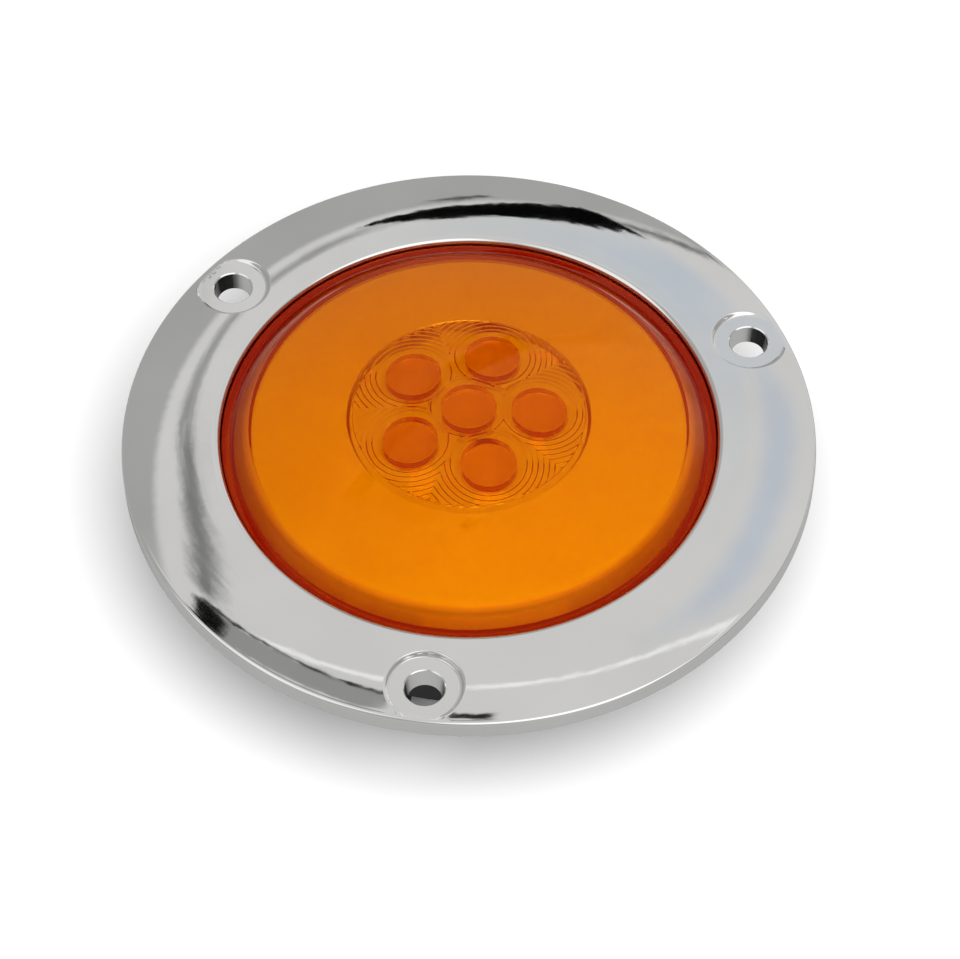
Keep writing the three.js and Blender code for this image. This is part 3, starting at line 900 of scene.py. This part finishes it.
# ---- Studio ----
CAMERA_AZIMUTH = 7.722
CAMERA_ELEVATION = 53.069
CAMERA_FOCAL = 129.68  # on a 36 mm sensor
CAMERA_DISTANCE = 695.99
CAMERA_TARGET = (3.375, -8.218, 0)
KEY_DISTANCE = 1.6  # in metres, like the light's own size
FLOOR_R = 3000


def direction(azimuth, elevation):
    """A unit vector as the camera sees the room: azimuth 0 is straight on behind the lamp, 90 right of it."""
    a = math.radians(azimuth - CAMERA_AZIMUTH)
    e = math.radians(elevation)
    return Vector((math.sin(a) * math.cos(e), math.cos(a) * math.cos(e), math.sin(e)))


def calc(tree, operation, a, b=0.0):
    """A sum or the like of two numbers or sockets."""
    return node(tree, "Math", {0: a, 1: b}, operation=operation).outputs[0]


def along(tree, view, axis):
    """How far the world's direction goes along an axis."""
    return node(tree, "VectorMath", {0: view, 1: axis}, operation="DOT_PRODUCT").outputs["Value"]


FLAT_MIRROR = direction(0, CAMERA_ELEVATION)  # where the camera looks by way of level chrome
MIRROR_RIGHT = FLAT_MIRROR.cross(Vector((0, 0, 1))).normalized()
MIRROR_UP = FLAT_MIRROR.cross(MIRROR_RIGHT)  # up in the picture, so lower in the room


def mirrored(right, up):
    """The direction that the chrome shows this many degrees to the right of and above its level parts."""
    angle = math.radians(math.hypot(right, up))
    aside = (MIRROR_RIGHT * right + MIRROR_UP * up).normalized()
    return FLAT_MIRROR * math.cos(angle) + aside * math.sin(angle)


def card(tree, view, ragged, middle, width, height, soft, roll=0):
    """A mask of a soft-edged card in the room: its centre's direction, its size and softness in degrees."""
    turn = FLAT_MIRROR.rotation_difference(middle)
    right = turn @ MIRROR_RIGHT
    up = turn @ MIRROR_UP
    a = math.radians(roll)
    axes = (right * math.cos(a) + up * math.sin(a), up * math.cos(a) - right * math.sin(a))
    depth = calc(tree, "MAXIMUM", along(tree, view, middle), 0.001)
    mask = 1.0
    for axis, size in zip(axes, (width, height)):
        offset = calc(tree, "ABSOLUTE", calc(tree, "DIVIDE", along(tree, view, axis), depth))
        offset = calc(tree, "ADD", offset, ragged)
        edge = math.tan(math.radians(size / 2))
        blur = math.radians(soft)
        inputs = {"Value": offset, "From Min": edge + blur, "From Max": max(edge - blur, 0.0)}
        fade = node(tree, "MapRange", inputs, interpolation_type="SMOOTHSTEP").outputs["Result"]
        mask = calc(tree, "MULTIPLY", fade, mask)
    return mask


def disc(tree, view, middle, radius, soft):
    """A mask of a round light in the room: its centre's direction, its radius and softness in degrees."""
    outer = math.cos(math.radians(radius + soft))
    inner = math.cos(math.radians(radius - soft))
    inputs = {"Value": along(tree, view, middle), "From Min": outer, "From Max": inner}
    return node(tree, "MapRange", inputs, interpolation_type="SMOOTHSTEP").outputs["Result"]


def grey(level, warmth=0.0):
    """A grey, or one a little warmer than grey."""
    return (level * (1 + warmth), level, level * (1 - warmth), 1.0)


# A round light, with its direction, radius, softness and colour
CEILING = (mirrored(20.7, -23), 42.2, 1.0, grey(0.68, 0.01))
# Soft cards that the chrome and the lens mirror: direction, width, height, softness, roll, colour
CARDS = [
    (direction(52, 6), 70, 16, 4, 0, grey(0.9)),
    (mirrored(5.9, 7), 12, 6, 3, 50, (0.57, 0.62, 0.68, 1.0)),
    (mirrored(13, -2.6), 7, 16, 3, -10, (0.57, 0.61, 0.68, 1.0)),
    (mirrored(3, -13.9), 34, 0.5, 0.8, -2, grey(0.95)),
    (mirrored(-6, 4.2), 10, 1.4, 1.4, 50, grey(0.36)),
    (mirrored(-10.2, -4.2), 13.5, 2.4, 1.3, 52, grey(0.22)),
    (mirrored(-11.6, -16.6), 14.3, 5.1, 0.5, -35, grey(0.32)),
    (mirrored(-16.3, -13.0), 3.0, 4.2, 0.5, -35, grey(0.004)),
    (mirrored(-10.1, -14.3), 13, 0.6, 0.4, -35, grey(0.03)),
    (mirrored(0, -22.5), 3, 1.6, 0.5, -8, grey(0.02)),
    (mirrored(-0.6, 15.3), 3.2, 0.8, 0.5, 44, grey(0.1)),
    (mirrored(11.3, 17.4), 11, 1.2, 0.8, 23, grey(0.2)),
    (mirrored(2.1, 11.9), 11.5, 4.0, 0.3, 42, grey(0.002)),
    (direction(150, 40), 60, 44, 10, 0, grey(1.3)),
    (direction(-120, 42), 50, 50, 10, 0, grey(1.0)),
]
RAGGED_EDGE = 0.012  # how far a card's edge wanders, as a slope


def room_colour(tree):
    """Grey room light that brightens overhead, with the ceiling light and the cards laid over it in turn."""
    view = node(tree, "TexCoord").outputs["Generated"]
    ramp = node(tree, "ValToRGB", {"Fac": along(tree, view, (0, 0, 1))})
    ramp.color_ramp.elements[0].color = grey(0.42)
    ramp.color_ramp.elements[1].color = grey(0.75)
    ramp.color_ramp.elements.new(0.8).color = grey(0.42)
    grain = node(tree, "TexNoise", {"Vector": view, "Scale": 55.0, "Detail": 4.0}).outputs["Fac"]
    ragged = spread(tree, grain, -RAGGED_EDGE / 2, RAGGED_EDGE / 2)
    *round_light, colour = CEILING
    room = blend(tree, disc(tree, view, *round_light), ramp.outputs["Color"], colour)
    for *shape, colour in CARDS:
        room = blend(tree, card(tree, view, ragged, *shape), room, colour)
    return room


def studio_world():
    """The room's light. The camera itself sees a plain pale background instead."""
    world = bpy.data.worlds.new("studio")
    scene.world = world
    world.use_nodes = True
    tree = world.node_tree
    tree.nodes.clear()
    lit = node(tree, "Background", {"Color": room_colour(tree), "Strength": 1.0})
    plain = node(tree, "Background", {"Color": grey(0.93), "Strength": 1.0})
    is_camera = node(tree, "LightPath").outputs["Is Camera Ray"]
    either = node(tree, "MixShader", {"Fac": is_camera, 1: lit.outputs[0], 2: plain.outputs[0]})
    node(tree, "OutputWorld", {"Surface": either.outputs[0]})


def floor_material():
    """A pale floor that mirrors in the chrome as a darker one."""
    material, tree, output = new_tree("floor")
    tone = two_tones(tree, noise(tree, 6), (0.86,) * 3, (0.88,) * 3)
    seen = node(tree, "BsdfDiffuse", {"Color": tone})
    in_mirror = node(tree, "BsdfDiffuse", {"Color": grey(0.36)})
    is_mirror = node(tree, "LightPath").outputs["Is Glossy Ray"]
    either = node(tree, "MixShader", {"Fac": is_mirror, 1: seen.outputs[0], 2: in_mirror.outputs[0]})
    tree.links.new(either.outputs[0], output.inputs["Surface"])
    return material


def floor():
    """A wide round floor just under the lamp's back."""
    bm = bmesh.new()
    bmesh.ops.create_circle(bm, cap_ends=True, segments=96, radius=FLOOR_R)
    bmesh.ops.translate(bm, vec=(0, 0, HOUSING_BOTTOM - 0.05), verts=bm.verts)
    mesh = finish_mesh(bm, "floor")
    mesh.materials.append(floor_material())
    made = bpy.data.objects.new("floor", mesh)
    scene.collection.objects.link(made)


def key_light():
    """A large soft light over the camera's side, which brightens the floor more than the chrome's mirror."""
    data = bpy.data.lights.new("key", "AREA")
    data.shape = "DISK"
    data.size = 1.2
    data.energy = 22
    made = bpy.data.objects.new("key", data)
    scene.collection.objects.link(made)
    made.visible_glossy = False
    made.location = direction(165, 62) * KEY_DISTANCE
    made.rotation_mode = "QUATERNION"
    made.rotation_quaternion = made.location.to_track_quat("Z", "Y")


def camera():
    """Looks down at the lamp from the front."""
    data = bpy.data.cameras.new("camera")
    data.sensor_width = 36
    data.lens = CAMERA_FOCAL
    made = bpy.data.objects.new("camera", data)
    scene.collection.objects.link(made)
    back = -direction(0, -CAMERA_ELEVATION)
    made.location = (Vector(CAMERA_TARGET) + back * CAMERA_DISTANCE) * MM
    made.rotation_mode = "QUATERNION"
    made.rotation_quaternion = back.to_track_quat("Z", "Y")
    scene.camera = made


camera()
flange()
lens()
glow_ring()
white_reflector()
cup_tray()
housing()
gasket()
pins()
dress_kept_nodes()
floor()
studio_world()
key_light()
scene.view_settings.view_transform = "Standard"
